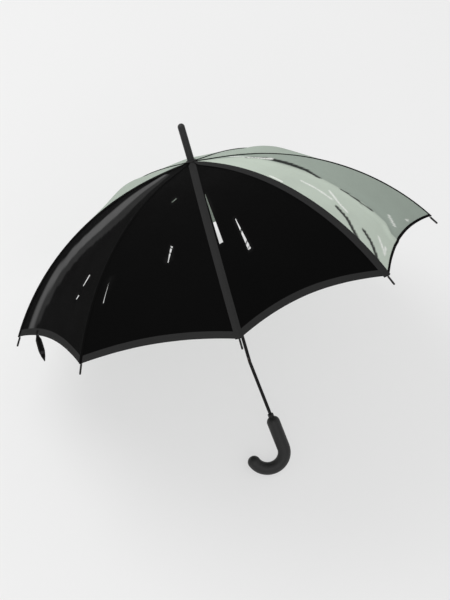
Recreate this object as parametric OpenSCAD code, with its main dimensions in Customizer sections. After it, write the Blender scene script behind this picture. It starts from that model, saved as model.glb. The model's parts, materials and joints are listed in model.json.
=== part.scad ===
// Stick umbrella with a bent shaft and torn cloth, held open, lying on two rib tips and its crook.
// It is drawn upright, with the shaft on Z and the rib pivots at z = 0, and then laid down.
// Rib 1 is at azimuth 0, the ribs count anticlockwise seen from the ferrule, and gore k is
// the panel from rib k to the next one.

/* [Canopy] */
// Radius from the shaft to the rib tips
canopy_r = 505; // [400:5:620]
// Drop from the rib pivots to the rib tips
canopy_drop = 282; // [230:2:345]
// Bow of a rib away from its straight chord
rib_bow = 72; // [58:1:88]
// Thickness of a cloth panel
cloth_t = 1.2; // [0.9:0.1:1.8]
// Gap between the ribs and the cloth on them
cloth_gap = 1.2; // [1.1:0.1:2]
// How far the hem is cut up between two ribs, as an angle along the rib's arc
hem_cut = 2.6; // [1:0.1:5]
// Width of the tape along a seam
tape_w = 19; // [12:1:24]
// Thickness of the tape along a seam
tape_t = 0.8; // [0.6:0.1:1.2]

/* [Ribs and stretchers] */
// Width of a rib's channel
rib_w = 3.6; // [3.2:0.1:4.4]
// Depth of a rib's channel
rib_h = 3.2; // [2.8:0.1:4]
// Wall of a rib's channel
rib_wall = 0.6; // [0.5:0.05:0.8]
// Thickness of the blades that turn in the notches
blade_t = 1.4; // [1.2:0.1:1.8]
// Radius of the eyes at the ends of ribs and stretchers
eye_r = 2.2; // [2:0.1:2.6]
// Radius of the hole in each eye
eye_bore_r = 1; // [0.9:0.05:1.1]
// Distance along the rib from its pivot to the stretcher's rivet
rivet_s = 226; // [180:1:272]
// Radius of the rivets
rivet_r = 0.85; // [0.7:0.05:1]
// Length of a stretcher from rivet to runner pivot
stretcher_l = 330; // [300:1:396]
// Width of a stretcher's bar
stretcher_w = 3; // [2.6:0.1:3.6]
// Length of a rib tip beyond the hem's corner
tip_l = 22; // [16:1:28]
// Radius of a rib tip
tip_r = 2.3; // [2:0.1:3]

/* [Shaft, crown and runner] */
// Outer radius of the shaft
shaft_r = 4; // [3.6:0.1:4.8]
// Wall of the shaft's tube
shaft_wall = 0.8; // [0.6:0.1:1]
// Distance from the rib pivots down to the bend in the shaft
bend_z = 500; // [490:5:600]
// Angle of the bend in the shaft
bend_a = 5; // [2:0.5:9]
// Radius of the bend in the shaft
bend_r = 60; // [40:5:90]
// Radius of the circle of rib pivots in the crown
crown_pivot_r = 11; // [10.5:0.5:13]
// Radius of the circle of stretcher pivots in the runner
runner_pivot_r = 14; // [13.5:0.5:17]
// Height of the runner's notched flange
flange_h = 8; // [7:0.5:10]
// Length of the runner's sleeve below its pivots
sleeve_l = 35; // [28:1:40]
// Length of the ferrule above the canopy
ferrule_l = 91; // [60:1:110]
// Radius of the ferrule
ferrule_r = 8.4; // [7:0.1:9.5]

/* [Handle and strap] */
// Distance from the rib pivots down to the handle, along the shaft
handle_z = 644; // [610:1:760]
// Radius of the grip
grip_r = 16; // [12:0.5:19]
// Straight length of the grip
grip_l = 84; // [60:1:110]
// Radius of the crook's middle line
crook_r = 40; // [32:1:55]
// Angle that the crook turns through
crook_a = 166; // [150:1:180]
// Length of the tie strap
strap_l = 62; // [40:1:90]
// Width of the tie strap
strap_w = 15; // [12:1:20]

/* [Hidden] */
$fn = 48;
RIBS = 8;
function names(stem) = [for (k = [1:RIBS]) str(stem, k)];
TAPED = [1, 2, 7]; // ribs with a tape over their seam

black = [0.03, 0.03, 0.03];
charcoal = [0.17, 0.17, 0.17];
sage = [0.68, 0.72, 0.68];
steel = [0.45, 0.46, 0.47];

fit = 0.05; // radial gap of a push fit
run = 0.15; // radial gap of a sliding fit
clear = 0.3; // gap between pieces that pass each other
seam_gap = 0.3; // gap between neighbouring panels

// Rib azimuths: three ribs stand a little out of even spacing
rib_az = [-1, 43.5, 90, 135, 180, 225, 270, 314];
function az(k) = k > RIBS ? rib_az[0] + 360 : rib_az[k - 1];

// A rib is one arc in the plane of x outward and z up, from its pivot to the hem's corner.
// An angle on it is measured from the vertical at the arc's centre.
span = norm([canopy_r - crown_pivot_r, canopy_drop]);
arc_r = (span * span / 4 + rib_bow * rib_bow) / (2 * rib_bow);
chord_a = atan2(canopy_drop, canopy_r - crown_pivot_r);
half_a = asin(span / 2 / arc_r);
a_in = chord_a - half_a;
a_out = chord_a + half_a;
arc_c = [crown_pivot_r - arc_r * sin(a_in), -arc_r * cos(a_in)];
function arc_pt(a, n = 0) = arc_c + (arc_r + n) * [sin(a), cos(a)];
function arc_step(s) = s / arc_r * 180 / PI; // angle that a length s along the arc takes

// The crown and the cloth over it
crown_r = crown_pivot_r + 3;
crown_top = 6;
crown_low = -5;
hole_r = shaft_r + 1.6; // radius of the cloth's hole at the shaft
cloth_n = rib_h / 2 + cloth_gap; // height of the cloth's inner face over a rib's middle line
a_hole = asin((hole_r - arc_c[0]) / arc_r);
lift_l = 22; // how fast the cloth comes down from the crown
crown_lift = (crown_top + 1 - cloth_n) * exp((crown_r / cos(22.5) - hole_r) / lift_l);
function lift(r) = crown_lift * exp((hole_r - r) / lift_l);
cloth_top = arc_pt(a_hole, cloth_n + crown_lift + cloth_t)[1];

// Stretcher and runner: the rivet is a little below the rib's middle line
a_rivet = a_in + arc_step(rivet_s);
rivet_n = rib_h / 2 - eye_r;
rivet_p = arc_pt(a_rivet, rivet_n);
runner_z = rivet_p[1] - sqrt(pow(stretcher_l, 2) - pow(rivet_p[0] - runner_pivot_r, 2));
stretcher_a = atan2(runner_z - rivet_p[1], runner_pivot_r - rivet_p[0]);
fork_gap = rib_w + 2 * clear;
cheek_t = 0.9;
cheek_y = fork_gap / 2 + cheek_t; // outer face of the fork
fork_l = 9;
notch_w = blade_t + 2 * 0.7;
sleeve_r = shaft_r + 3;
flange_r = runner_pivot_r + 3;
pin_r = 1.5;

// Lower shaft and handle, measured down the shaft as if it were straight
socket_l = 40; // depth of the shaft in the handle and in the ferrule
collar_h = 8;
collar_r = shaft_r + 3;
handle_cut = grip_r - sqrt(grip_r * grip_r - collar_r * collar_r); // flat on the handle's round top
arc_start = handle_z + grip_l;
hook_r = grip_r - 0.3; // the crook is a little thinner than the grip

// The ends of the ribs
tip_c = arc_pt(a_out) + tip_l * [cos(a_out), -sin(a_out)];
rod_r = 1.1;
rod_l = 10;

// Laying down: the tips of ribs 5 and 6 and the crook touch the ground together.
// lie_az is the azimuth that points down, and tilt is the angle of the shaft over the ground.
lie_az = (az(5) + az(6)) / 2;
lie_half = (az(6) - az(5)) / 2;
function turn_x(v, a) = [v[0], v[1] * cos(a) - v[2] * sin(a), v[1] * sin(a) + v[2] * cos(a)];
function bent(p) =
    turn_x(p - [0, bend_r, -bend_z], bend_a) + [0, bend_r, -bend_z];
crook_c = bent([0, -crook_r, -arc_start]);
function crook_reach(d) = let (e = turn_x(d, -bend_a))
    d * crook_c + crook_r * norm([e[1], e[2]]) + hook_r;
function down(t) = [cos(t) * cos(lie_az), cos(t) * sin(lie_az), -sin(t)];
function back(t) = [-sin(t) * cos(lie_az), -sin(t) * sin(lie_az), -cos(t)];
function tip_reach(t) = tip_c[0] * cos(lie_half) * cos(t) - tip_c[1] * sin(t) + tip_r;
function settle(lo, hi, n) = let (t = (lo + hi) / 2)
    n == 0 ? t
    : tip_reach(t) > crook_reach(down(t)) ? settle(t, hi, n - 1) : settle(lo, t, n - 1);
tilt = settle(10, 80, 40);
ferrule_z = cloth_top + 2; // foot of the ferrule
ahead = [sin(tilt) * cos(lie_half), cos(tilt)]; // ground direction the ferrule points, in a rib's plane
front = max((ferrule_z + ferrule_l) * cos(tilt),
            arc_c * ahead + (arc_r + cloth_n + cloth_t) * norm(ahead));
rest = [(crook_reach(back(tilt)) - front) / 2, 0, tip_reach(tilt)];
module laid() translate(rest) rotate([0, 90 - tilt, 0]) rotate([0, 0, -lie_az]) children();

// Helpers
module at_rib(k) laid() rotate([0, 0, az(k)]) children();
module lower() translate([0, bend_r, -bend_z]) rotate([bend_a, 0, 0]) translate([0, -bend_r, bend_z])
    children();
// A bar that follows the rib's arc: the profile's x is the height n, its y is across the rib
module along_arc(a0, a1)
    translate([arc_c[0], 0, arc_c[1]]) rotate([90, 0, 0]) rotate([0, 0, 90 - a1])
        rotate_extrude(angle = a1 - a0, $fn = 180) translate([arc_r, 0]) children();
// The end of the rib's arc, with z along the rib and outward
module at_corner() translate([arc_pt(a_out)[0], 0, arc_pt(a_out)[1]]) rotate([0, 90 + a_out, 0]) children();
module across(p, r, h) translate([p[0], 0, p[1]]) rotate([90, 0, 0]) cylinder(r = r, h = h, center = true);
module box_y(size) translate([0, -size[1] / 2, 0]) cube(size);

// A rib: a folded steel channel, open below, with a pressed eye at the crown and a rod at the tip
blade_a = arc_step(22);
channel_a = arc_step(15);
plug_l = 6; // plug that closes the channel's end and carries the rod
plug_out = 0.5; // how far the plug stands out of the channel
module channel_profile() difference() {
    square([rib_h, rib_w], center = true);
    translate([-rib_wall, 0]) square([rib_h, rib_w - 2 * rib_wall], center = true);
}
module rib(k) color(steel) at_rib(k) difference() {
    union() {
        along_arc(a_in + channel_a, a_out) channel_profile();
        along_arc(a_in, a_in + blade_a) square([rib_h - rib_wall, blade_t], center = true);
        at_corner() translate([0, 0, -plug_l]) linear_extrude(plug_l + plug_out)
            square([rib_h - rib_wall, rib_w - rib_wall], center = true);
        across([crown_pivot_r, 0], eye_r, blade_t);
        at_corner() cylinder(r = rod_r, h = rod_l);
    }
    across([crown_pivot_r, 0], eye_bore_r, 4);
    across(rivet_p, rivet_r + fit, 8);
}

// A stretcher: a steel bar with a fork around the rib and an eye in the runner's notch
module stretcher(k) color(steel) at_rib(k)
    translate([rivet_p[0], 0, rivet_p[1]]) rotate([0, -stretcher_a, 0]) difference() {
        union() {
            for (s = [-1, 1]) translate([0, s * (cheek_y - cheek_t / 2), 0]) {
                rotate([90, 0, 0]) cylinder(r = eye_r, h = cheek_t, center = true);
                translate([0, -cheek_t / 2, -eye_r]) cube([fork_l, cheek_t, 2 * eye_r]);
            }
            translate([fork_l - 2, 0, -eye_r]) box_y([2, 2 * cheek_y, 2 * eye_r]);
            translate([fork_l - 1, 0, -eye_r * 0.6])
                box_y([stretcher_l - fork_l - 11, stretcher_w, eye_r * 1.2]);
            translate([stretcher_l - 14, 0, -eye_r * 0.75]) box_y([14, blade_t, eye_r * 1.5]);
            translate([stretcher_l, 0, 0]) rotate([90, 0, 0]) cylinder(r = eye_r, h = blade_t, center = true);
        }
        rotate([90, 0, 0]) cylinder(r = rivet_r + 2 * fit, h = 8, center = true);
        translate([stretcher_l, 0, 0]) rotate([90, 0, 0]) cylinder(r = eye_bore_r, h = 4, center = true);
    }

// A rivet that holds a stretcher's fork on its rib
module rivet(k) color("silver") at_rib(k) {
    head_t = 0.6;
    head_y = cheek_y + 0.1 + head_t / 2;
    across(rivet_p, rivet_r, 2 * head_y);
    for (s = [-1, 1]) translate([0, s * head_y, 0]) across(rivet_p, rivet_r * 1.8, head_t);
}

// A rib tip: a moulded cap with a round end, pushed on the rod
module rib_tip(k) color(black) at_rib(k) at_corner() difference() {
    union() {
        translate([0, 0, plug_out + clear]) cylinder(r = tip_r, h = tip_l - plug_out - clear);
        translate([0, 0, tip_l]) sphere(r = tip_r);
    }
    cylinder(r = rod_r + fit, h = rod_l + 1);
}

// A gore: a closed shell whose grid runs across the panel and down it.
// Between the ribs the cloth is drawn straight, so that each level is a chord.
across_n = 12;
down_n = 16;
function gore_pt(k, i, j, n) = let (
    mid = (az(k) + az(k + 1)) / 2,
    half = (az(k + 1) - az(k)) / 2,
    u = 2 * i / across_n - 1,
    a_hem = a_out - hem_cut * (1 - u * u),
    a = a_hole + (a_hem - a_hole) * pow(j / down_n, 1.2),
    level = arc_pt(a, 0)[0],
    p = arc_pt(a, n + lift(level)),
    psi = u * (half - asin(seam_gap / 2 / p[0])),
    r = p[0] * cos(half) / cos(psi)
) [r * cos(mid + psi), r * sin(mid + psi), p[1]];
grid = (across_n + 1) * (down_n + 1);
function at(i, j) = i * (down_n + 1) + j;
function quad(a, b, c, d) = [[a, b, c], [a, c, d]];
gore_faces = concat(
    [for (i = [0:across_n - 1], j = [0:down_n - 1])
        each quad(at(i, j), at(i, j + 1), at(i + 1, j + 1), at(i + 1, j))],
    [for (i = [0:across_n - 1], j = [0:down_n - 1])
        each quad(grid + at(i, j), grid + at(i + 1, j), grid + at(i + 1, j + 1), grid + at(i, j + 1))],
    [for (j = [0:down_n - 1]) each concat(
        quad(at(0, j), grid + at(0, j), grid + at(0, j + 1), at(0, j + 1)),
        quad(at(across_n, j), at(across_n, j + 1), grid + at(across_n, j + 1), grid + at(across_n, j)))],
    [for (i = [0:across_n - 1]) each concat(
        quad(at(i, 0), at(i + 1, 0), grid + at(i + 1, 0), grid + at(i, 0)),
        quad(at(i, down_n), grid + at(i, down_n), grid + at(i + 1, down_n), at(i + 1, down_n)))]);
function gore_points(k) = [for (n = [cloth_n, cloth_n + cloth_t], i = [0:across_n], j = [0:down_n])
    gore_pt(k, i, j, n)];
module gore(k) color(k == 1 || k > 6 ? black : sage) laid() polyhedron(gore_points(k), gore_faces);

// The tape sewn over a seam, as a flat band over the ridge
tape_n = cloth_n + cloth_t + 0.6;
a_tape = a_hole + arc_step(75);
module tape(k) color(charcoal) at_rib(k)
    along_arc(a_tape, a_out) translate([tape_n, -tape_w / 2]) square([tape_t, tape_w]);

// Shaft: one bent steel tube, with two slots for the catches and a hole for the stop pin
slot_w = 2.2;
leaf_t = 1.6;
leaf_l = 24;
top_catch_z = runner_z - sleeve_l - clear; // flat top of the top catch
bottom_catch_z = -(handle_z - collar_h - 24);
stop_z = runner_z + flange_h / 2 + clear + pin_r;
shaft_top = ferrule_z + socket_l;
shaft_in = shaft_r - shaft_wall;
bend_thin = 0.1; // the tube's wall is drawn thinner by this on each side in the bend
module ring(thin = 0) difference() {
    circle(r = shaft_r - thin);
    circle(r = shaft_in + thin);
}
module tube(z0, z1) translate([0, 0, z0]) linear_extrude(z1 - z0) ring();
slot_rise = 0.8; // room over a leaf, whose nose lifts as it is pressed in
module catch_slot(z) translate([-shaft_r - 1, 0, z - leaf_l - clear])
    box_y([shaft_r + 1, slot_w, leaf_l + clear + slot_rise]);
module shaft() color(black) laid() difference() {
    union() {
        tube(-bend_z, shaft_top);
        translate([0, bend_r, -bend_z]) rotate([-90, 0, 0]) rotate([0, 90, 0])
            rotate_extrude(angle = bend_a, $fn = 180) translate([bend_r, 0]) ring(bend_thin);
        lower() tube(-handle_z - socket_l, -bend_z);
    }
    catch_slot(top_catch_z);
    lower() catch_slot(bottom_catch_z);
    translate([0, 0, stop_z]) rotate([90, 0, 0]) cylinder(r = pin_r + fit, h = 12, center = true);
}
module stop_pin() color(steel) laid() translate([0, 0, stop_z]) rotate([90, 0, 0])
    cylinder(r = pin_r, h = 2 * sleeve_r - 1, center = true);

// A catch: a spring leaf in its slot, whose nose stands out of the shaft and presses in
nose = 3;
leaf_x = -shaft_r + shaft_wall + 0.4; // inner corner of the leaf's outer edge
leaf_steel = 1.4; // depth of the leaf's steel
nose_h = 3; // height of the nose's flat outer face
nose_l = 14; // height of the nose with its slope
module leaf() rotate([90, 0, 0]) translate([0, 0, -leaf_t / 2]) linear_extrude(leaf_t)
    polygon([[leaf_x + leaf_steel, 0], [-shaft_r - nose, 0], [-shaft_r - nose, -nose_h],
             [leaf_x, -nose_l], [leaf_x, -leaf_l], [leaf_x + leaf_steel, -leaf_l]]);
module top_catch() color(steel) laid() translate([0, 0, top_catch_z]) leaf();
module bottom_catch() color(steel) laid() lower() translate([0, 0, bottom_catch_z]) leaf();

// Crown: a notched ring fixed near the shaft's top, with a groove for the wire that holds the ribs
module notches(r0, r1, z0, z1, w)
    for (k = [1:RIBS]) rotate([0, 0, az(k)]) translate([r0, 0, z0]) box_y([r1 - r0, w, z1 - z0]);
wire_r = 0.6;
module crown() color(black) laid() difference() {
    translate([0, 0, crown_low]) cylinder(r = crown_r, h = crown_top - crown_low);
    translate([0, 0, crown_low - 1]) cylinder(r = shaft_r + fit, h = crown_top - crown_low + 2);
    notches(crown_pivot_r - eye_r - 0.7, crown_r + 2, crown_low - 1, eye_r + 0.8, notch_w);
    rotate_extrude() translate([crown_pivot_r - wire_r - 0.1, -wire_r - 0.2])
        square([crown_r, 2 * wire_r + 0.4]);
}
module crown_wire() color("silver") laid() rotate_extrude() translate([crown_pivot_r, 0])
    circle(r = wire_r, $fn = 24);

// Runner: a notched flange on a sleeve that slides on the shaft
module runner() color(black) laid() translate([0, 0, runner_z]) difference() {
    union() {
        translate([0, 0, -flange_h / 2]) cylinder(r = flange_r, h = flange_h);
        translate([0, 0, -sleeve_l]) cylinder(r = sleeve_r, h = sleeve_l);
        translate([0, 0, -sleeve_l]) cylinder(r = sleeve_r + 2, h = 5);
    }
    translate([0, 0, -sleeve_l - 1]) cylinder(r = shaft_r + run, h = sleeve_l + flange_h + 2);
    notches(sleeve_r + 0.4, flange_r + 2, -flange_h, flange_h, notch_w);
}

// Top cap: the washer that closes the cloth's hole under the ferrule
module top_cap() color(charcoal) laid() translate([0, 0, cloth_top + clear]) difference() {
    cylinder(r = crown_r - 2, h = ferrule_z - cloth_top - clear);
    translate([0, 0, -1]) cylinder(r = shaft_r + fit, h = 4);
}

// Ferrule: a turned spike with a round end, pushed on the shaft's top
module ferrule() color(charcoal) laid() translate([0, 0, ferrule_z]) difference() {
    rotate_extrude() {
        square([ferrule_r, ferrule_l - ferrule_r]);
        translate([0, ferrule_l - ferrule_r]) quarter_disc(ferrule_r);
    }
    translate([0, 0, -1]) cylinder(r = shaft_r + fit, h = socket_l + 2);
}

// Handle: a round crook with a socket for the shaft, and a collar over the joint
module quarter_disc(r) intersection() {
    circle(r = r);
    square(r);
}
module grip_profile() difference() {
    union() {
        square([grip_r, grip_l - grip_r]);
        translate([0, grip_l - grip_r]) quarter_disc(grip_r);
    }
    translate([0, grip_l - handle_cut]) square([grip_r, grip_r]);
    translate([0, grip_l - socket_l - 1]) square([shaft_r + fit, socket_l + 2]);
}
module handle() color(charcoal) laid() lower() {
    translate([0, 0, -arc_start]) rotate_extrude() grip_profile();
    translate([0, -crook_r, -arc_start]) rotate([0, 90, 0]) rotate([0, 0, 90 - crook_a]) {
        rotate_extrude(angle = crook_a, $fn = 180) translate([crook_r, 0]) circle(r = hook_r);
        translate([crook_r, 0, 0]) rotate([90, 0, 0]) rotate_extrude() quarter_disc(hook_r);
    }
}
module handle_collar() color(black) laid() lower() translate([0, 0, -handle_z - handle_cut]) difference() {
    cylinder(r = collar_r, h = collar_h);
    translate([0, 0, -1]) cylinder(r = shaft_r + fit, h = collar_h + 2);
}

// Tie strap: a short pointed strap that hangs from the hem beside rib 7, with a snap near its end
strap_t = 1.2;
strap_az = 12; // azimuth from rib 7
strap_lean = 16; // lean of the strap toward azimuth 0
strap_u = 2 * strap_az / (az(8) - az(7)) - 1;
strap_a = a_out - hem_cut * (1 - strap_u * strap_u);
strap_p = arc_pt(strap_a, cloth_n + cloth_t / 2);
strap_k = cos((az(8) - az(7)) / 2) / cos((az(8) - az(7)) / 2 - strap_az);
module at_strap() laid() rotate([0, 0, az(7) + strap_az])
    translate([strap_p[0] * strap_k + 0.9 * cos(strap_a), 0, strap_p[1] - 0.9 * sin(strap_a)])
        rotate([0, 0, -az(7) - strap_az]) rotate([0, 90 - strap_lean, 0]) children();
module strap() color(black) at_strap() translate([0, 0, -strap_t / 2]) linear_extrude(strap_t)
    polygon([[0, -3], [strap_l * 0.16, -strap_w * 0.47], [strap_l * 0.6, -strap_w / 2], [strap_l, -1],
             [strap_l, 1], [strap_l * 0.6, strap_w / 2], [strap_l * 0.16, strap_w * 0.47], [0, 3]]);
module strap_snap() color("silver") at_strap() translate([strap_l * 0.66, 0, strap_t / 2])
    cylinder(r = 4, h = 1.5);

for (k = [1:RIBS]) {
    rib(k);
    stretcher(k);
    rib_tip(k);
    rivet(k);
    gore(k);
}
for (k = TAPED) tape(k);
shaft();
ferrule();
top_cap();
crown();
crown_wire();
runner();
stop_pin();
top_catch();
bottom_catch();
handle_collar();
handle();
strap();
strap_snap();
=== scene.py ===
import json
import math

import bpy
from mathutils import Matrix, Vector, noise
from mathutils.geometry import delaunay_2d_cdt


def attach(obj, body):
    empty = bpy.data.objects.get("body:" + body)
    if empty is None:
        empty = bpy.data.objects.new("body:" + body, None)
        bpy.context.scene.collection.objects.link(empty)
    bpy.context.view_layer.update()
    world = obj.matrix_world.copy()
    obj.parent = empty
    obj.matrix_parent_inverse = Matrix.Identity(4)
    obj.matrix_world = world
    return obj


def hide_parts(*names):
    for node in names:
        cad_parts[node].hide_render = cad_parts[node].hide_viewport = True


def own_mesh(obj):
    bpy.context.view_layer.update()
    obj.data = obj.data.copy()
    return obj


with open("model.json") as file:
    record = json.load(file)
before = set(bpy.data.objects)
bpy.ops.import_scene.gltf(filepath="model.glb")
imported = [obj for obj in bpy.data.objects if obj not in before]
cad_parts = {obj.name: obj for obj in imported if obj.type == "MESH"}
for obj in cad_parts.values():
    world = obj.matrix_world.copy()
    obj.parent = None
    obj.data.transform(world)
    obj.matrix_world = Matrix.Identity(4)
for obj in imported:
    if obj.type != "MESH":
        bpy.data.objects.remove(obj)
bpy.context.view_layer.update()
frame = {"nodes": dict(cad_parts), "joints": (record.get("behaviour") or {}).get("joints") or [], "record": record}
MM = 0.001


# ---------------------------------------------------------------- the umbrella's own directions
# The umbrella lies on two rib tips and its crook. Its own directions are taken from the joints:
# the shaft runs along `upright`'s third column, and rib 3 lies along the second.
joint = {j["name"]: j for j in frame["joints"]}
spike = next(m for m in frame["record"]["mounts"] if m["name"] == "ferrule_spike")
pivot_3 = Vector(joint["rib_fold_3"]["pos_m"])
pivot_7 = Vector(joint["rib_fold_7"]["pos_m"])
hub = (pivot_3 + pivot_7) / 2
along_shaft = Vector(spike["axis"]).normalized()
along_rib_3 = (pivot_3 - pivot_7).normalized()
along_rib_1 = along_rib_3.cross(along_shaft)
upright = Matrix((along_rib_1, along_rib_3, along_shaft)).transposed()


def laid(x, y, z):
    """Where a point of the upright umbrella, in millimetres, is on the umbrella as it lies."""
    return hub + upright @ Vector((x, y, z)) * MM


# ---------------------------------------------------------------- camera, floor and light
# A plain pale floor and soft studio light, with one camera that looks down on the canopy
# from 6 metres away, turned a little on its own axis.
camera_rise = math.radians(16.4)
camera_roll = math.radians(16.32)
camera_distance = 6000
camera_lens = 152.3
rim_depth = 282
aim_below_rim = 54.4

toward_camera = Vector((math.cos(camera_rise), 0, math.sin(camera_rise)))
level_right = Vector((0, 1, 0))
level_up = Vector((-math.sin(camera_rise), 0, math.cos(camera_rise)))
right = level_right * math.cos(camera_roll) - level_up * math.sin(camera_roll)
up = level_up * math.cos(camera_roll) + level_right * math.sin(camera_roll)
aim = Vector((0, 0, -rim_depth)) - up * aim_below_rim
camera_place = laid(*(aim + toward_camera * camera_distance))

camera_data = bpy.data.cameras.new("camera")
camera_data.lens = camera_lens
camera_data.sensor_width = 36
camera_data.clip_end = 50
camera = bpy.data.objects.new("camera", camera_data)
bpy.context.scene.collection.objects.link(camera)
turn = Matrix((upright @ right, upright @ up, upright @ toward_camera)).transposed()
camera.matrix_world = Matrix.Translation(camera_place) @ turn.to_4x4()
bpy.context.scene.camera = camera
bpy.context.scene.view_settings.view_transform = "Standard"

world_strength = 0.62
world = bpy.data.worlds.new("studio")
bpy.context.scene.world = world
world.use_nodes = True
world.node_tree.nodes["Background"].inputs["Color"].default_value = (1, 1, 1, 1)
world.node_tree.nodes["Background"].inputs["Strength"].default_value = world_strength
lamp_aim = Vector((0, 0, 0.35))


def lamp(name, place, size, power):
    """A soft square lamp that faces the umbrella. Places and sizes are in metres."""
    data = bpy.data.lights.new(name, "AREA")
    data.size = size
    data.energy = power
    lamp_object = bpy.data.objects.new(name, data)
    bpy.context.scene.collection.objects.link(lamp_object)
    facing = (lamp_aim - Vector(place)).to_track_quat("-Z", "Y")
    lamp_object.matrix_world = Matrix.Translation(place) @ facing.to_matrix().to_4x4()


lamp("key_lamp", (2.0, 1.3, 3.6), 2.4, 72)
lamp("side_lamp", (-2.6, 1.2, 2.6), 2.0, 16)


class Wire:
    """What comes out of a node. Sums written on it become Math nodes."""

    def __init__(self, finish, socket):
        self.finish, self.socket = finish, socket

    def other(self, out):
        """Another output of the same node."""
        return Wire(self.finish, self.socket.node.outputs[out])

    def sum(self, operation, *terms):
        return self.finish.node("ShaderNodeMath", dict(enumerate(terms)), operation=operation)

    def __add__(self, other): return self.sum("ADD", self, other)
    def __radd__(self, other): return self.sum("ADD", other, self)
    def __sub__(self, other): return self.sum("SUBTRACT", self, other)
    def __rsub__(self, other): return self.sum("SUBTRACT", other, self)
    def __mul__(self, other): return self.sum("MULTIPLY", self, other)
    def __rmul__(self, other): return self.sum("MULTIPLY", other, self)


class Finish:
    """A material with one shader, and the nodes that vary it."""

    def __init__(self, name, **constants):
        self.material = bpy.data.materials.new(name)
        self.material.use_nodes = True
        self.tree = self.material.node_tree
        self.shader = self.tree.nodes["Principled BSDF"]
        for socket, value in constants.items():
            self.shader.inputs[socket.replace("_", " ")].default_value = value

    def node(self, kind, sockets=None, out=0, stops=None, **settings):
        """A node with its settings, then its ramp's stops, then its sockets' values or links."""
        made = self.tree.nodes.new(kind)
        for name, value in settings.items():
            setattr(made, name, value)
        if stops:
            ramp = made.color_ramp
            while len(ramp.elements) < len(stops):
                ramp.elements.new(0.5)
            for element, (position, shade) in zip(ramp.elements, stops):
                element.position = position
                element.color = (shade, shade, shade, 1)
        for socket, value in (sockets or {}).items():
            if isinstance(value, Wire):
                self.tree.links.new(value.socket, made.inputs[socket])
            else:
                made.inputs[socket].default_value = value
        return Wire(self, made.outputs[out])

    def noise(self, place, scale, detail=3, roughness=0.55):
        return self.node("ShaderNodeTexNoise", {
            "Vector": place, "Scale": scale, "Detail": detail, "Roughness": roughness})

    def step(self, value, low, high):
        return self.node("ShaderNodeValToRGB", {0: value}, stops=[(low, 0), (high, 1)])

    def blend(self, share, first, second):
        factor, colour_a, colour_b, mixed_colour = 0, 6, 7, 2
        return self.node("ShaderNodeMix", {factor: share, colour_a: first, colour_b: second},
                         out=mixed_colour, data_type="RGBA")

    def drive(self, **wires):
        for socket, wire in wires.items():
            self.tree.links.new(wire.socket, self.shader.inputs[socket.replace("_", " ")])

    def relief(self, height, strength, distance):
        bump = self.node("ShaderNodeBump", {
            "Strength": strength, "Distance": distance, "Height": height})
        self.drive(Normal=bump)


def grey(level):
    return (level, level, level, 1)


floor_size = 24           # metres
glow_share = 0.62         # of the floor's own paleness, in what a camera or a gloss sees of it
floor_finish = Finish("floor_paper", Roughness=0.9, Specular_IOR_Level=0.0)
floor_place = floor_finish.node("ShaderNodeTexCoord", out="Object")
floor_finish.drive(Base_Color=floor_finish.blend(
    floor_finish.noise(floor_place, 1.5), grey(0.86), grey(0.89)))
floor_glow = floor_finish.node("ShaderNodeEmission", {"Color": grey(0.89), "Strength": 1.0})
by_camera, by_gloss, through_glass = [
    floor_finish.node("ShaderNodeLightPath", out=f"Is {ray} Ray")
    for ray in ("Camera", "Glossy", "Transmission")]
reflected = by_gloss.sum("MAXIMUM", by_gloss, through_glass)
floor_mix = floor_finish.node("ShaderNodeMixShader", {
    0: by_camera.sum("MAXIMUM", by_camera, reflected) * glow_share,
    1: Wire(floor_finish, floor_finish.shader.outputs[0]), 2: floor_glow})
floor_finish.tree.links.new(
    floor_mix.socket, floor_finish.tree.nodes["Material Output"].inputs["Surface"])
bpy.ops.object.select_all(action="DESELECT")
bpy.ops.mesh.primitive_plane_add(size=floor_size)
floor = bpy.context.object
floor.name = "floor"
floor.data.materials.append(floor_finish.material)


# ---------------------------------------------------------------- canopy cloth
# Eight panels of thin woven polyester, three of them black and five sage, sewn edge to edge
# and stretched over the ribs. Each is made here in two halves, one for each rib it is sewn to.
rib_turn = {1: -1, 2: 43.5, 3: 90, 4: 135, 5: 180, 6: 225, 7: 270, 8: 314}
canopy_r, canopy_drop = 505, 282   # the rib ends: out from the shaft, and down from the pivots
rib_bow, pivot_r = 72, 11          # a rib's rise over its chord, and its pivot from the shaft
cloth_face = 4.0          # outer face of the cloth over a rib's middle line
cloth_thick = 0.9
shaft_hole = 5.6
crown_lift, lift_reach = 6.48, 22   # the cloth's rise over the crown, and how far out it fades
span = math.hypot(canopy_r - pivot_r, canopy_drop)
arc_r = (span * span / 4 + rib_bow * rib_bow) / (2 * rib_bow)
chord_turn = math.atan2(canopy_drop, canopy_r - pivot_r)
half_turn = math.asin(span / 2 / arc_r)
a_in, a_out = chord_turn - half_turn, chord_turn + half_turn
arc_x, arc_z = pivot_r - arc_r * math.sin(a_in), -arc_r * math.cos(a_in)
a_hole = math.asin((shaft_hole - arc_x) / arc_r)
rib_length = (a_out - a_in) * arc_r
hole_s = (a_hole - a_in) * arc_r

# How far each hem is cut up between its ribs, in degrees along the rib's arc
hem_cut = {1: 3.1, 2: 2.8, 3: 2.6, 4: 2.6, 5: 2.6, 6: 2.6, 7: 2.6, 8: 1.8}
BLACK_PANELS = (7, 8, 1)


def next_rib(k):
    return k % 8 + 1


def gore_half(k, side):
    """The panel on that side of rib k, and half the angle it spans."""
    gore = k if side > 0 else (k - 2) % 8 + 1
    spread = (rib_turn[next_rib(gore)] - rib_turn[gore]) % 360
    return gore, math.radians(spread / 2)


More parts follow.
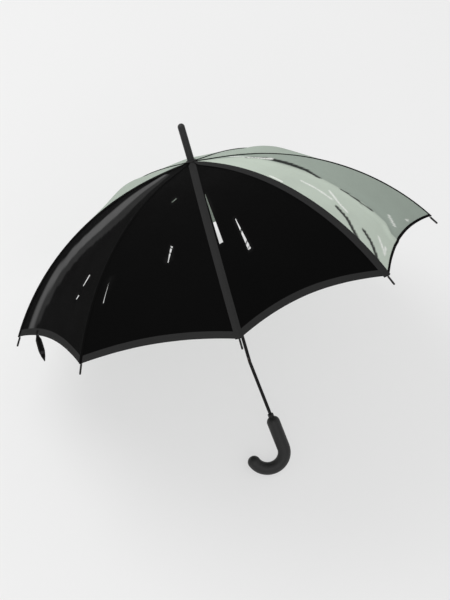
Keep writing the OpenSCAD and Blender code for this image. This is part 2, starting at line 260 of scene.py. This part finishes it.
def arc_point(s, n):
    """Radius and height of a point at length s along a rib's arc and n above its middle line."""
    a = a_in + s / arc_r
    n += crown_lift * math.exp((shaft_hole - arc_x - arc_r * math.sin(a)) / lift_reach)
    return arc_x + (arc_r + n) * math.sin(a), arc_z + (arc_r + n) * math.cos(a)


def half_width(s, half):
    """Width of a half panel at length s along its rib."""
    return arc_point(s, cloth_face)[0] * math.sin(half)


def cloth_point(k, side, d, s, n):
    """On the cloth beside rib k: d from the seam, s along the rib, n above its middle line.

    What n has over the cloth's face is laid off along the panel's own normal, which both of
    its halves share, so that they meet along its middle however slack the cloth is.
    """
    half = gore_half(k, side)[1]
    radius, height = arc_point(s, cloth_face)
    a = a_in + s / arc_r
    normal = Vector((math.sin(a), math.cos(a) * math.cos(half))).normalized() * (n - cloth_face)
    x = radius - d * math.sin(half) + normal.x * math.cos(half)
    y = side * (d * math.cos(half) + normal.x * math.sin(half))
    height += normal.y
    t = math.radians(rib_turn[k])
    return laid(x * math.cos(t) - y * math.sin(t), x * math.sin(t) + y * math.cos(t), height)


def hem_s(k, side, share):
    """Where the hem is, at a share of the way from the seam to the panel's middle."""
    cut = math.radians(hem_cut[gore_half(k, side)[0]])
    return (a_out - cut * share * (2 - share) - a_in) * arc_r


# The damage. A slit is (rib, side, (d, s) at the top, (d, s) at the bottom, widths of both).
slits = [
    (1, -1, (58, 174), (71, 187), 2.4, 1.6),
    (1, -1, (98, 336), (117, 381), 4.6, 1.2),
    (8, -1, (63, 393), (76, 423), 2.6, 1.4),
    (8, -1, (84, 447), (91, 458), 2.0, 1.6),
    (8, 1, (26, 397), (29, 458), 1.6, 3.4),
    (1, 1, (68, 305), (81, 402), 1.0, 7.5),
    (1, 1, (13, 182), (20, 357), 1.2, 9.5),
]
# Lines on the slack panel, as (share of the way from its middle to a seam, length along the rib)
fold_line = [(0.40, 84), (0.375, 133), (0.075, 319), (0.025, 385), (-0.01, 470), (-0.05, 515),
             (-0.19, 541), (-0.20, 590)]
split_line = [(0.72, 84), (0.42, 136), (0.50, 188)]
# Creases: grooves in the cloth, with painted shade along them
creases = [
    [(0.375, 133), (0.46, 174), (0.338, 237), (0.238, 284), (0.075, 319)],
    [(0.025, 385), (-0.037, 440), (-0.025, 469)],
    [(-0.587, 400), (-0.70, 438), (-0.85, 465), (-0.95, 487)],
    [(-0.637, 483), (-0.75, 515), (-0.95, 549)],
]
crease_shade_reach = [7.0, 4.0, 4.0, 4.0]   # half the width of each one's painted shade
# Painted highlights along the slack panel's wrinkles, in the same shares and lengths
painted_highlight_lines = [
    [(-0.775, 220), (-0.825, 253)],
    [(-0.362, 291), (-0.40, 338), (-0.45, 379)],
    [(-0.225, 362), (-0.438, 400), (-0.525, 427)],
    [(-0.50, 521), (-0.66, 549), (-0.72, 556), (-0.56, 549)],
    [(0.20, 510), (0.06, 537)],
    [(0.43, 551), (0.45, 554)],
]
# The painted highlight band beside rib 7, grey with charcoal beyond it: length along the rib,
# and from the seam where it starts and ends
painted_highlight_band = [(60, 8, 34), (98, 20, 62), (160, 34, 100), (226, 46, 130), (277, 48, 132),
               (343, 40, 112), (418, 34, 100), (486, 36, 98), (570, 46, 86), (593, 48, 82)]


def soft_step(x):
    x = min(1, max(0, x))
    return x * x * (3 - 2 * x)


def line_gap(y, s, line):
    """Distance from a point to a line of points, all in the flat cloth."""
    best = 1e9
    for (y0, s0), (y1, s1) in zip(line, line[1:]):
        dy, ds = y1 - y0, s1 - s0
        t = ((y - y0) * dy + (s - s0) * ds) / (dy * dy + ds * ds)
        t = min(1, max(0, t))
        best = min(best, math.hypot(y - y0 - t * dy, s - s0 - t * ds))
    return best


def panel_line(line):
    """A line given in shares of the slack panel's width, in millimetres of flat cloth."""
    half = gore_half(2, 1)[1]
    return [(u * half_width(s, half), s) for u, s in line]


fold_flat, split_flat = panel_line(fold_line), panel_line(split_line)
creases_flat = [panel_line(line) for line in creases]
highlight_lines_flat = [panel_line(line) for line in painted_highlight_lines]


def fold_y(s):
    """Where the fold is, across the slack panel, at length s along its ribs."""
    for (y0, s0), (y1, s1) in zip(fold_flat, fold_flat[1:]):
        if s <= s1:
            return y0 + (y1 - y0) * (s - s0) / (s1 - s0)
    return fold_flat[-1][0]


def across(k, side, d, s):
    """Distance from the panel's middle line, positive toward its second rib."""
    width = half_width(s, gore_half(k, side)[1])
    return (d - width) if side > 0 else (width - d)


def hump(x, middle, reach):
    """1 at its middle, and nearly gone at twice its reach."""
    return math.exp(-((x - middle) / reach) ** 2)


seam_hold = 14                    # the seams hold the cloth flat over this width
ripple = (46, 60)                 # size of the faint ripples, across and down
ripple_shift = 7.3                # so that no two panels ripple alike
lip_height, lip_reach = 0.9, 9    # one lip of a slit stands up and the other down
fold_top, fold_grows = 60, 90     # where the fold starts, and the length over which it grows
fold_shape = [(3.0, -8, 12), (-1.6, 20, 14)]   # its ridge and hollow: height, place, reach
crease_depth, crease_half = 1.8, 3.6
# Puffs, by panel: height, place and reach down the rib, place and reach as shares of the width
puffs = {2: (2.5, 190, 95, 0.62, 0.36), 3: (14.0, 185, 85, -0.35, 0.5),
         6: (13.0, 165, 70, 0.2, 0.55)}


def slack(k, side, d, s):
    """How far the cloth stands off its stretched shape, in millimetres."""
    gore, half = gore_half(k, side)
    width = half_width(s, half)
    inside = soft_step(d / seam_hold)
    y = across(k, side, d, s)
    across_ripple, down_ripple = ripple
    spot = Vector((y / across_ripple, s / down_ripple, gore * ripple_shift))
    stand = noise.noise(spot) * inside
    for rib, turned, top, bottom, *_ in slits:
        if (rib, turned) == (k, side):
            gap = line_gap(d, s, [top, bottom])
            first = (d - top[0]) * (bottom[1] - top[1]) - (s - top[1]) * (bottom[0] - top[0])
            stand += math.copysign(lip_height, first) * hump(gap, 0, lip_reach) * inside
    if gore == 2:
        off = y - fold_y(s)
        grow = soft_step((s - fold_top) / fold_grows)
        for height, place, reach in fold_shape:
            stand += height * grow * hump(off, place, reach) * inside
    if gore in puffs:
        height, place, reach, share, share_reach = puffs[gore]
        puff = hump(s, place, reach) * hump(y / width, share, share_reach)
        stand += height * puff * inside
    if gore == 2:
        for line in creases_flat:
            stand -= crease_depth * hump(line_gap(y, s, line), 0, crease_half) * inside
    return stand


def near(gap, full, fade):
    """1 up to a full distance, and 0 once it has faded past that."""
    return 1 - soft_step((gap - full) / fade)


# How far each kind of wear, painted highlight and painted crease shade reaches from its line,
# and the width over which it fades
slit_fray, slit_reach = 0.12, (4.0, 2)
highlight_reach, split_reach, crease_shade_fade = (1.5, 3.5), (2.2, 2.5), 1.8


def fray_and_highlight(k, side, d, s):
    """How frayed the cloth is round the slits, and how pale the slack panel is painted along its
    highlights and a pale line near the crown, from 0 to 1.
    """
    value = 0
    for rib, turned, top, bottom, *_ in slits:
        if (rib, turned) == (k, side):
            value = max(value, slit_fray * near(line_gap(d, s, [top, bottom]), *slit_reach))
    if gore_half(k, side)[0] == 2:
        y = across(k, side, d, s)
        for line in highlight_lines_flat:
            value = max(value, near(line_gap(y, s, line), *highlight_reach))
        value = max(value, near(line_gap(y, s, split_flat), *split_reach))
    return value


def painted_crease_shade(k, side, d, s):
    """How dark the painted shade along a crease makes the cloth, from 0 to 1."""
    if gore_half(k, side)[0] != 2:
        return 0
    y = across(k, side, d, s)
    return max(near(line_gap(y, s, line), reach, crease_shade_fade)
               for line, reach in zip(creases_flat, crease_shade_reach))


grey_from, grey_to, band_end = 0.08, 0.46, 0.97   # as shares of the painted highlight band's width
charcoal_fade, end_fade = 0.12, 0.06
charcoal = 0.25


def painted_rib_7_highlight(reach, s):
    """Black cloth painted with a grey highlight along rib 7, and charcoal beyond it: 0, 1 and a quarter."""
    for (s0, a0, b0), (s1, a1, b1) in zip(painted_highlight_band, painted_highlight_band[1:]):
        if s0 <= s <= s1:
            t = (s - s0) / (s1 - s0)
            start, end = a0 + (a1 - a0) * t, b0 + (b1 - b0) * t
            part = (reach - start) / (end - start)
            to_charcoal = (1 - charcoal) * soft_step((part - grey_to) / charcoal_fade)
            band = soft_step(part / grey_from) * (1 - to_charcoal)
            return band * near(part, band_end, end_fade)
    return 0


sage_fading = 0.35
lit_side_reach = (-5, 12)   # from the fold line: the slack panel is painted lit on one side of it and painted shaded on the other


def paleness_and_painted_light(k, side, d, s):
    """1 where the cloth is painted pale: the lit side of the slack panel's fold and the highlight
    beside rib 7. A fixed mix on the other sage panels, and 0 on the other black ones.
    """
    gore, half = gore_half(k, side)
    if gore == 7:
        return painted_rib_7_highlight(d if side > 0 else 2 * half_width(s, half) - d, s)
    if gore != 2:
        return 0.0 if gore in BLACK_PANELS else sage_fading
    # Painted light and shade: one side of the fold is painted lit, and the other painted shaded
    return near(across(k, side, d, s) - fold_y(s), *lit_side_reach)


tear_step, tear_rag = 7, 0.25   # spacing of the points along a torn side, and their wander


def slit_outline(top, bottom, w0, w1):
    """A torn opening, pointed or square at its ends, with slightly ragged sides."""
    line = Vector(bottom) - Vector(top)
    over = Vector((line.y, -line.x)).normalized()
    steps = max(4, int(line.length / tear_step))
    sides = []
    for way in (1, -1):
        edge = []
        for i in range(steps + 1):
            t = i / steps
            ragged = tear_rag * noise.noise(Vector((t * 9, way * 3.1, top[1])))
            edge.append(Vector(top) + line * t + over * way * ((w0 + (w1 - w0) * t) / 2 + ragged))
        sides.append(edge)
    return sides[0] + sides[1][::-1]


def inside_ring(point, ring):
    found = False
    for (x0, y0), (x1, y1) in zip(ring, ring[1:] + ring[:1]):
        if (y0 > point[1]) != (y1 > point[1]):
            if point[0] < x0 + (x1 - x0) * (point[1] - y0) / (y1 - y0):
                found = not found
    return found


def cut_cloth(name, outline, holes, inner, lay, turned, marks):
    """Flat cloth cut to an outline with holes in it, laid in its place. UVs are the flat cloth."""
    points, edges = [], []
    for ring in [outline] + holes:
        first = len(points)
        points += [Vector(p) for p in ring]
        edges += [(first + i, first + (i + 1) % len(ring)) for i in range(len(ring))]
    points += [Vector(p) for p in inner]
    flat, _, faces, *_ = delaunay_2d_cdt(points, edges, [], 0, 1e-5)
    kept = []
    for face in faces:
        middle = sum((flat[i] for i in face), Vector((0, 0))) / len(face)
        if inside_ring(middle, outline) and not any(inside_ring(middle, h) for h in holes):
            kept.append(list(reversed(face)) if turned else list(face))
    used = sorted({i for face in kept for i in face})
    new = {old: i for i, old in enumerate(used)}
    kept = [[new[i] for i in face] for face in kept]
    flat = [flat[i] for i in used]
    return mesh_piece(name, [lay(*p) for p in flat], kept, flat, marks)


def mesh_piece(name, places, faces, flat, marks):
    """A mesh with the flat cloth as its UVs, in metres, and its wear as attributes."""
    mesh = bpy.data.meshes.new(name)
    mesh.from_pydata(places, [], faces)
    uv = mesh.uv_layers.new(name="flat")
    for loop in mesh.loops:
        uv.data[loop.index].uv = Vector(flat[loop.vertex_index]) * MM
    for mark, value in marks.items():
        layer = mesh.attributes.new(mark, "FLOAT", "POINT")
        for i, p in enumerate(flat):
            layer.data[i].value = value(*p)
    piece = bpy.data.objects.new(name, mesh)
    bpy.context.scene.collection.objects.link(piece)
    return piece


def thicken(piece, thickness, offset, finish):
    """Gives cloth its thickness and finish, with the modifier applied."""
    piece.data.materials.append(finish.material)
    solid = piece.modifiers.new("thickness", "SOLIDIFY")
    solid.thickness = thickness * MM
    solid.offset = offset
    bpy.ops.object.select_all(action="DESELECT")
    piece.select_set(True)
    bpy.context.view_layer.objects.active = piece
    bpy.ops.object.modifier_apply(modifier=solid.name)
    bpy.ops.object.shade_smooth_by_angle(angle=math.radians(40))


def middle_length(s, half):
    """Length of the flat cloth from the hole down the panel's middle line, abreast of s."""
    steps = 24
    middles = (a_in + (hole_s + (s - hole_s) * (i + 0.5) / steps) / arc_r for i in range(steps))
    shares = (math.sqrt(1 - (math.cos(a) * math.sin(half)) ** 2) for a in middles)
    return sum(shares) * (s - hole_s) / steps


def unrolled(d, s, half):
    """Where a point of a half panel is on the flat cloth: from the middle line, and down it."""
    return half_width(s, half) - d, middle_length(s, half)


def ring_area(ring):
    """The area inside a ring of flat points."""
    pairs = zip(ring, ring[1:] + ring[:1])
    return abs(sum(x0 * y1 - x1 * y0 for (x0, y0), (x1, y1) in pairs)) / 2


thread_spacing = 0.9


def cloth_finish(name, deep_and_shaded_tone, pale_and_lit_tone, dusty, fray_and_highlight_tone, sheen):
    """Woven cloth: deep and pale tones mixed by the mark for paleness and painted light, dust in
    large patches and specks, painted shade in creases, pale frayed thread and painted highlights.
    """
    cloth = Finish(name, Specular_IOR_Level=0.05, Sheen_Weight=sheen, Sheen_Roughness=0.5)
    flat = cloth.node("ShaderNodeTexCoord", out="UV")
    place = cloth.node("ShaderNodeTexCoord", out="Object")
    patches = cloth.step(cloth.noise(place, 7, 5), 0.35, 0.72)
    specks = cloth.step(cloth.noise(place, 160, 4), 0.62, 0.75)
    pale_and_light_share, fray_and_highlight_share, crease_shade = [cloth.node("ShaderNodeAttribute", out="Fac", attribute_name=mark)
                            for mark in ("paleness_and_painted_light", "fray_and_highlight", "painted_crease_shade")]
    # Deep and pale tones mixed by the mark: painted light and shade across the slack panel's fold, a painted
    # highlight beside rib 7, and pale stitching on the strap
    tone = cloth.blend(pale_and_light_share, deep_and_shaded_tone, pale_and_lit_tone)
    tone = cloth.blend(patches * 0.22, tone, dusty)
    tone = cloth.blend(specks * 0.12, tone, dusty)
    # Painted shade: the slack panel's creases darkened nearly to black
    tone = cloth.blend(crease_shade * 0.93, tone, grey(0.006))
    # Pale frayed thread round the slits, and painted highlights on the slack panel
    tone = cloth.blend(fray_and_highlight_share * cloth.step(cloth.noise(place, 420, 2), 0.2, 0.55), tone, fray_and_highlight_tone)
    cloth.drive(Base_Color=tone, Roughness=patches * 0.12 + 0.8)
    crosswise = cloth.node("ShaderNodeSeparateXYZ", {0: flat}, out="X")
    lengthwise = crosswise.other("Y")
    thread_pitch = 2 * math.pi / (thread_spacing * MM)
    warp = crosswise.sum("SINE", crosswise * thread_pitch)
    weft = lengthwise.sum("SINE", lengthwise * thread_pitch)
    cloth.relief(warp * weft * 0.25 + cloth.noise(place, 38, 3), 0.25, 0.0015)
    return cloth


# The black cloth's pale grey is the painted highlight beside rib 7
black_cloth = cloth_finish("black_cloth", grey(0.0012), grey(0.095), grey(0.006), grey(0.05), 0.0)
# The sage's deep and pale tones are its painted shaded and lit colours. Panels away from the fold take a fixed mix
# of them.
sage_cloth = cloth_finish(
    "sage_cloth", (0.335, 0.392, 0.343, 1), (0.545, 0.615, 0.535, 1), (0.27, 0.30, 0.26, 1),
    (0.86, 0.88, 0.84, 1), 0.05)
canopy_halves = {}
across_steps, down_steps = 42, 60               # along a half panel's hem, and down its seam
slack_rows, slack_columns = 150, 30             # of the points inside the slack panel's halves
plain_rows, plain_columns = 70, 14              # and inside the others
hem_margin, slit_margin = 3, 2                  # those points keep this far from an edge

for k in range(1, 9):
    for side in (1, -1):
        gore, half = gore_half(k, side)
        hem_line = [(share * half_width(hem_s(k, side, share), half), hem_s(k, side, share))
                    for share in (i / across_steps for i in range(across_steps + 1))]
        mid_top = hem_line[-1][1]
        middle = [(half_width(s, half), s) for s in
                  (hole_s + (mid_top - hole_s) * j / down_steps for j in range(down_steps, -1, -1))]
        seam_line = [
            (0, hole_s + (rib_length - hole_s) * j / down_steps) for j in range(down_steps)]
        outline = hem_line + middle[1:] + seam_line
        holes = [slit_outline(top, bottom, w0, w1)
                 for rib, turned, top, bottom, w0, w1 in slits if (rib, turned) == (k, side)]
        inner = []
        rows, columns = (slack_rows, slack_columns) if gore == 2 else (plain_rows, plain_columns)
        for j in range(1, rows):
            s = hole_s + (rib_length - hole_s) * j / rows
            width = half_width(s, half)
            for i in range(1, columns):
                d = width * i / columns
                share = d / width
                if s < hem_s(k, side, share) - hem_margin:
                    if all(line_gap(d, s, hole + hole[:1]) > slit_margin for hole in holes):
                        inner.append((d, s))
        name = f"gore_{gore}_{'first' if side > 0 else 'second'}_half"
        piece = cut_cloth(
            name, outline, holes, inner,
            lambda d, s: cloth_point(k, side, d, s, cloth_face + slack(k, side, d, s)),
            side > 0,
            {"fray_and_highlight": lambda d, s: fray_and_highlight(k, side, d, s),
             "painted_crease_shade": lambda d, s: painted_crease_shade(k, side, d, s),
             "paleness_and_painted_light": lambda d, s: paleness_and_painted_light(k, side, d, s)})
        cut_area, *hole_areas = [
            ring_area([unrolled(*p, half) for p in ring]) for ring in [outline] + holes]
        cut = (half_width(rib_length, half), middle_length(rib_length, half),
               cut_area - sum(hole_areas))
        thicken(piece, cloth_thick, -1, black_cloth if gore in BLACK_PANELS else sage_cloth)
        canopy_halves[k, side] = piece, cut


# ---------------------------------------------------------------- hems, tapes and seams
# The black panels have a broad turned hem of charcoal tape, and the sage ones a narrow black
# binding. Charcoal tape is sewn over the seams on ribs 1 and 2, and black tape over the one on
# rib 7. The others are plain felled seams.
hem_width, binding_width = 17, 7
hem_raise, hem_thick, hem_overrun = 0.15, 0.3, 0.8   # over the cloth, and past its cut edge
tape_thick, tape_overrun, tape_crown = 0.6, 0.9, 0.5
tape_start = -1                   # length along the rib, over the crown
tape_raise, seam_raise = 0.95, 0.5
tape_sides = {7: (-13.0, 9.5), 1: (-9.5, 9.5), 2: (-13.0, 9.5)}   # from the rib's middle line
seam_sides = (-5.0, 5.0)
hem_rows, tape_rows, tape_columns, seam_columns = 5, 110, 10, 4
crown_share = 0.85                # of the room between two ribs, near the crown
tape_cloth = cloth_finish("tape", grey(0.024), grey(0.03), grey(0.034), grey(0.12), 0.0)
binding_cloth = cloth_finish(
    "binding_cloth", grey(0.0015), grey(0.004), grey(0.008), grey(0.05), 0.0)


def grid_piece(name, rows, columns, spot, flat_spot, turned, marks):
    """A band of cloth as a grid, with spot and flat_spot giving each corner."""
    places, flat, faces = [], [], []
    for i in range(rows + 1):
        for j in range(columns + 1):
            places.append(spot(i / rows, j / columns))
            flat.append(flat_spot(i / rows, j / columns))
    for i in range(rows):
        for j in range(columns):
            a = i * (columns + 1) + j
            face = [a, a + 1, a + columns + 2, a + columns + 1]
            faces.append(face[::-1] if turned else face)
    return mesh_piece(name, places, faces, flat, marks)


def gather(piece, k):
    """The piece moves with rib k, and gets a mesh of its own. Nothing draws it in as the frame folds.

    A folded panel needs 0.83 of its width near the crown and 0.57 at the hem. One share for
    all of it would leave a narrow gap down the middle near the crown, and cross at the hem.
    """
    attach(piece, f"rib_{k}")
    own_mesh(piece)


plain = {"fray_and_highlight": lambda d, s: 0, "painted_crease_shade": lambda d, s: 0, "paleness_and_painted_light": lambda d, s: 0}
for (k, side), (piece, (width, length, area)) in canopy_halves.items():
    gore, half = gore_half(k, side)
    black = gore in BLACK_PANELS
    band = hem_width if black else binding_width

    def hem_spot(share, down):
        s = hem_s(k, side, share) + hem_overrun - band * (1 - down)
        d = share * half_width(min(s, rib_length), half)
        return cloth_point(k, side, d, s, cloth_face + hem_raise + slack(k, side, d, s))

    hem = grid_piece(
        f"hem_{gore}_{'first' if side > 0 else 'second'}_half", across_steps, hem_rows, hem_spot,
        lambda share, down: (share * width, down * band), side < 0, plain)
    thicken(hem, hem_thick, 1, tape_cloth if black else binding_cloth)
    gather(hem, k)
    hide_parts(f"gore_{gore}")
    width * MM
    length * MM
    area * MM * MM
    gather(piece, k)

for k in range(1, 9):
    taped = k in tape_sides
    wide = tape_sides.get(k, seam_sides)
    band_raise = tape_raise if taped else seam_raise

    def band_y(s, share):
        room = crown_share * half_width(s, gore_half(k, 1)[1])
        narrow = min(1, room / max(wide[1], -wide[0]))
        return (wide[0] + (wide[1] - wide[0]) * share) * narrow

    def band_spot(down, share):
        s = tape_start + (rib_length + tape_overrun - tape_start) * down
        y = band_y(s, share)
        side = 1 if y >= 0 else -1
        crown = tape_crown * (1 - (2 * share - 1) ** 2)
        return cloth_point(k, side, abs(y), s, cloth_face + band_raise + crown)

    band = grid_piece(
        f"seam_tape_{k}" if taped else f"seam_{k}",
        tape_rows, tape_columns if taped else seam_columns, band_spot,
        lambda down, share: ((wide[0] + (wide[1] - wide[0]) * share),
                             tape_start + (rib_length - tape_start) * down), False, plain)
    thicken(band, tape_thick, 1, tape_cloth if k in (1, 2) else binding_cloth)
    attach(band, f"rib_{k}")
    if taped:
        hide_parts(f"tape_{k}")
    (wide[1] - wide[0]) * MM
    (rib_length + tape_overrun - tape_start) * MM


# ---------------------------------------------------------------- tie strap
# A short pointed strap of doubled black cloth with stitched edges, sewn into the hem beside
# rib 7. A snap near its end closes it round the rolled umbrella, and here it hangs loose.
strap_length, strap_width, strap_thick = 62, 15, 1.2
strap_turn, strap_lean = 12, math.radians(16)
strap_share = 2 * strap_turn / ((rib_turn[8] - rib_turn[7]) % 360) - 1
strap_a = a_out - math.radians(hem_cut[7]) * (1 - strap_share ** 2)
strap_n = 3.4             # its root, above the rib's middle line
strap_clear = 0.9         # and past the hem's edge
strap_x = arc_x + (arc_r + strap_n) * math.sin(strap_a)
strap_z = arc_z + (arc_r + strap_n) * math.cos(strap_a)
panel_half = math.radians((rib_turn[8] - rib_turn[7]) / 2)
strap_reach = math.cos(panel_half) / math.cos(panel_half - math.radians(strap_turn))
strap_azimuth = math.radians(rib_turn[7] + strap_turn)
strap_radius = strap_x * strap_reach + strap_clear * math.cos(strap_a)
strap_root = Vector((strap_radius * math.cos(strap_azimuth), strap_radius * math.sin(strap_azimuth),
                     strap_z - strap_clear * math.sin(strap_a)))
strap_tab = 12            # the part sewn flat over the hem
tab_lift, tab_rise, tab_turn = 0.2, 1.3, 4   # its lift off the cloth, growing away from the root
strap_puff = 0.25
stitch_inset, stitch_width = 1.6, 0.8
strap_shape = [(-strap_tab, 4.4), (-6, 4.4), (0, 3), (10, 7.05), (24, 7.4), (37, 7.5), (50, 5.0),
               (strap_length, 1.0)]   # length from the root, and half the width there


def strap_half(length):
    """Half the strap's width at a length from its root."""
    for (t0, w0), (t1, w1) in zip(strap_shape, strap_shape[1:]):
        if length <= t1:
            return w0 + (w1 - w0) * (length - t0) / (t1 - t0)
    return strap_shape[-1][1]


def strap_flat(down, share):
    length = (strap_length + strap_tab) * down - strap_tab
    return (2 * share - 1) * strap_half(length), length


def strap_spot(down, share):
    """The tab lies on the hem's outer face and turns over its edge into the hanging strap."""
    y, length = strap_flat(down, share)
    if length < 0:
        s = (strap_a - a_in) * arc_r + length
        d = (1 + strap_share) * half_width(s, panel_half) + y
        lift = tab_lift + tab_rise * soft_step(-length / tab_turn)
        return cloth_point(7, 1, d, s, cloth_face + lift)
    puffed = strap_puff * (1 - (2 * share - 1) ** 2)
    along = Vector((math.sin(strap_lean), 0, -math.cos(strap_lean))) * length
    out = Vector((math.cos(strap_lean), 0, math.sin(strap_lean))) * (puffed - strap_thick / 2)
    return laid(*(strap_root + along + Vector((0, y, 0)) + out))


tie_strap = grid_piece(
    "tie_strap", 34, 8, strap_spot, strap_flat, False,
    {"fray_and_highlight": lambda y, s: 0, "painted_crease_shade": lambda y, s: 0,
     "paleness_and_painted_light": lambda y, s: soft_step(
         1 - abs(abs(y) - strap_half(s) + stitch_inset) / stitch_width)})
strap_outline = [(w, t) for t, w in strap_shape] + [(-w, t) for t, w in reversed(strap_shape)]
strap_cloth = cloth_finish(
    "strap_cloth", grey(0.004), grey(0.045), grey(0.012), grey(0.08), 0.0)
thicken(tie_strap, strap_thick - 0.3, 1, strap_cloth)
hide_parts("strap")
ring_area(strap_outline) * MM * MM
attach(tie_strap, "rib_7")


# ---------------------------------------------------------------- steel frame
# Ribs and stretchers are folded from zinc-plated strip steel, joined by rivets and a wire.
# The plating has dulled, with rust starting in spots.
young_rust, old_rust = (0.16, 0.062, 0.026, 1), (0.12, 0.05, 0.022, 1)


def steel_finish(name, tone, rough, rust_from):
    """Dull plated steel, with rust where its noise passes rust_from."""
    steel = Finish(name, Metallic=0.9)
    place = steel.node("ShaderNodeTexCoord", out="Object")
    rust = steel.step(steel.noise(place, 55, 6, 0.65), rust_from, rust_from + 0.08)
    streaks = steel.noise(place, 240, 2)
    plated = steel.blend(streaks, grey(tone), grey(tone * 0.72))
    steel.drive(
        Base_Color=steel.blend(rust, plated, young_rust),
        Roughness=rust * 0.4 + streaks * 0.18 + rough, Metallic=0.92 - rust * 0.8)
    steel.relief(rust * 0.6 + streaks * 0.2, 0.35, 0.0004)
    return steel


def dress(finish, *names):
    """Gives CAD nodes their finish."""
    for name in names:
        node = frame["nodes"][name]
        for material_slot in node.material_slots:
            material_slot.material = finish.material


rib_steel = steel_finish("rib_steel", 0.42, 0.26, 0.60)
rivet_steel = steel_finish("rivet_steel", 0.55, 0.2, 0.66)
spring_steel = steel_finish("spring_steel", 0.36, 0.24, 0.63)
dress(rib_steel, *[f"{stem}_{k}" for stem in ("rib", "stretcher") for k in range(1, 9)])
dress(rivet_steel, "crown_wire", *[f"rivet_{k}" for k in range(1, 9)])
dress(spring_steel, "stop_pin", "top_catch", "bottom_catch")


# ---------------------------------------------------------------- shaft
# A drawn steel tube in black enamel. It was bent by a blow below the canopy, and the enamel
# has cracked off round the bend, where the bare steel has rusted.
bend_place = laid(0, 0, -500)
bend_near, bend_far = 0.006, 0.03   # metres from the bend, between which the chips thin out
enamel = Finish("shaft_paint", Specular_IOR_Level=0.2)
place = enamel.node("ShaderNodeTexCoord", out="Object")
from_bend = enamel.node("ShaderNodeVectorMath", {0: place, 1: tuple(bend_place)}, out="Value",
                        operation="DISTANCE")
chip_noise = enamel.noise(place, 210, 5, 0.6)
near_bend = 1 - enamel.step(from_bend, bend_near, bend_far)
chips = enamel.step(chip_noise + near_bend * 0.14, 0.70, 0.73)
bare_steel = enamel.blend(
    enamel.step(enamel.noise(place, 90), 0.4, 0.6), grey(0.22), old_rust)
enamel.drive(
    Base_Color=enamel.blend(chips, grey(0.003), bare_steel),
    Roughness=chips * 0.35 + enamel.noise(place, 30) * 0.14 + 0.36, Metallic=chips * 0.6)
enamel.relief(1 - chips, 0.5, 0.0002)
dress(enamel, "shaft")


# ---------------------------------------------------------------- plastic parts
# The crown, runner, collar, rib tips and snap are moulded in black nylon, the crook and ferrule
# in charcoal plastic with a fine moulded grain, scuffed where they rub and knock.


def plastic_finish(name, tone, scuffed, rough, scratch_from=0.58):
    """Moulded plastic, cloudy with handling and scratched where its noise passes scratch_from."""
    plastic = Finish(name, Specular_IOR_Level=0.3)
    place = plastic.node("ShaderNodeTexCoord", out="Object")
    stretched = plastic.node("ShaderNodeMapping", {0: place, "Scale": (6, 1, 1)})
    scratches = plastic.step(
        plastic.noise(stretched, 150, 5, 0.7), scratch_from, scratch_from + 0.12)
    clouds = plastic.noise(place, 22, 4)
    moulded = plastic.blend(clouds, grey(tone), grey(tone * 1.35))
    plastic.drive(
        Base_Color=plastic.blend(scratches * 0.5, moulded, grey(scuffed)),
        Roughness=clouds * 0.16 + scratches * 0.12 + rough)
    plastic.relief(plastic.noise(place, 900, 2) - scratches * 0.5, 0.18, 0.0003)
    return plastic


nylon = plastic_finish("hub_plastic", 0.008, 0.05, 0.45)
tip_plastic = plastic_finish("tip_plastic", 0.006, 0.06, 0.4)
crook_plastic = plastic_finish("handle_plastic", 0.019, 0.07, 0.38, 0.6)
ferrule_plastic = plastic_finish("ferrule_plastic", 0.017, 0.08, 0.42, 0.56)
dress(nylon, "crown", "runner", "handle_collar")
dress(tip_plastic, "strap_snap", *[f"rib_tip_{k}" for k in range(1, 9)])
dress(crook_plastic, "handle")
dress(ferrule_plastic, "ferrule", "top_cap")
